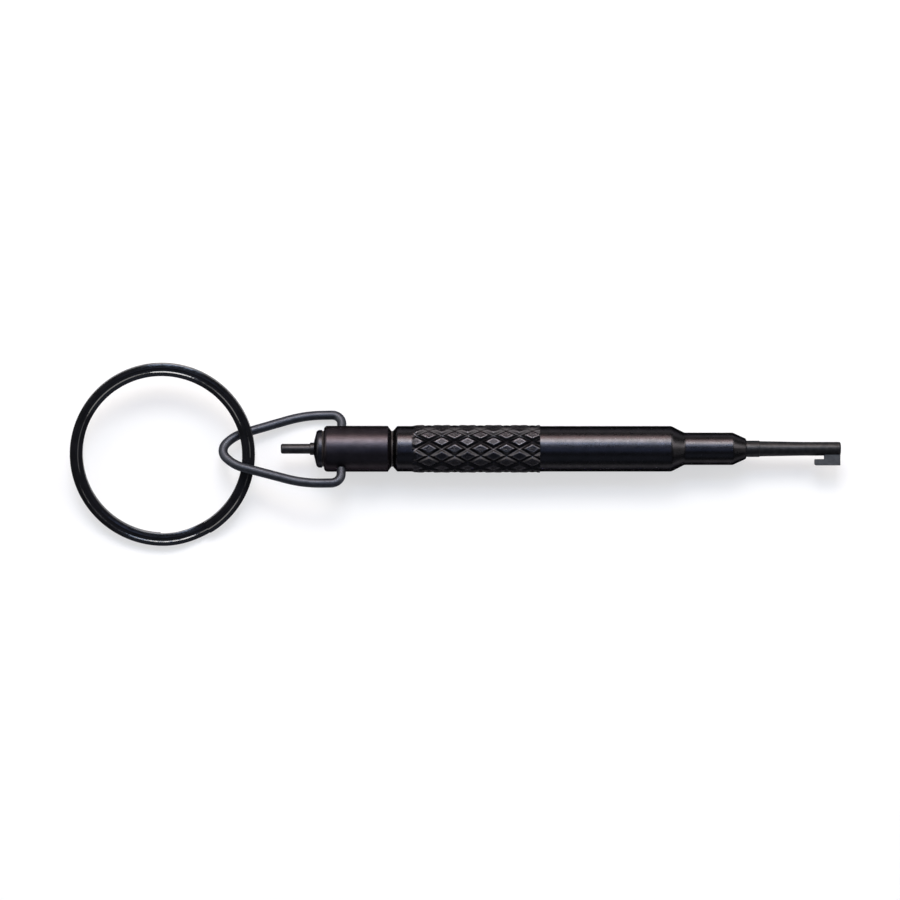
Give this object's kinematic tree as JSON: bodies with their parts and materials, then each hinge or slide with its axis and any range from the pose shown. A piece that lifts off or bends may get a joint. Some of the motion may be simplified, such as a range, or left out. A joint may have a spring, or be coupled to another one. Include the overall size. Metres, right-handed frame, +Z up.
{
  "type": "swivel handcuff key",
  "caption": "Pen-shaped swivel handcuff key: knurled stepped grip, hollow-barrel key with hooked bit, rear release pin, and a free-turning sleeve with a wire bail and split ring.",
  "frame": {"origin": "middle of the object's box in X and Y, on the surface the tool lies on", "axes": "+X along the tool's axis towards the key's tip, +Z up from the surface the tool lies on, +Y completes a right-handed frame: the key's bit points to -Y"},
  "size_m": [0.159, 0.0378, 0.0098],
  "materials": {
    "grip": "black anodised, satin",
    "sleeve": "black anodised, satin, slightly brown",
    "stud": "black anodised, satin",
    "key_steel": "black oxide, satin",
    "pin_steel": "black oxide, satin",
    "bail_steel": "black oxide wire, satin",
    "ring_steel": "gloss black plated spring steel",
    "washer": "moulded, matt"
  },
  "bodies": {
    "grip": {"grip_body": "grip", "key": "key_steel", "swivel_stud": "stud", "release_pin": "pin_steel", "rear_washer": "washer", "front_washer": "washer"},
    "sleeve": {"swivel_sleeve": "sleeve"},
    "bail": {"bail": "bail_steel"},
    "ring": {"split_ring": "ring_steel"}
  },
  "joints": [
    {"name": "sleeve_swivel", "type": "hinge", "parent": "grip", "child": "sleeve", "pos_m": [-0.0201, 0.00118, 0.00492], "axis": [1, 0, 0], "continuous": true},
    {"name": "bail_swing", "type": "hinge", "parent": "sleeve", "child": "bail", "pos_m": [-0.02345, 0.00118, 0.00492], "axis": [0, 0.8829, -0.4695], "range_deg": [-115, 115]},
    {"name": "ring_swing", "type": "hinge", "parent": "bail", "child": "ring", "pos_m": [-0.04297, 0.00086, 0.0044], "axis": [-0.0502, 0.9836, 0.1734], "range_deg": [-75, 75]}
  ]
}
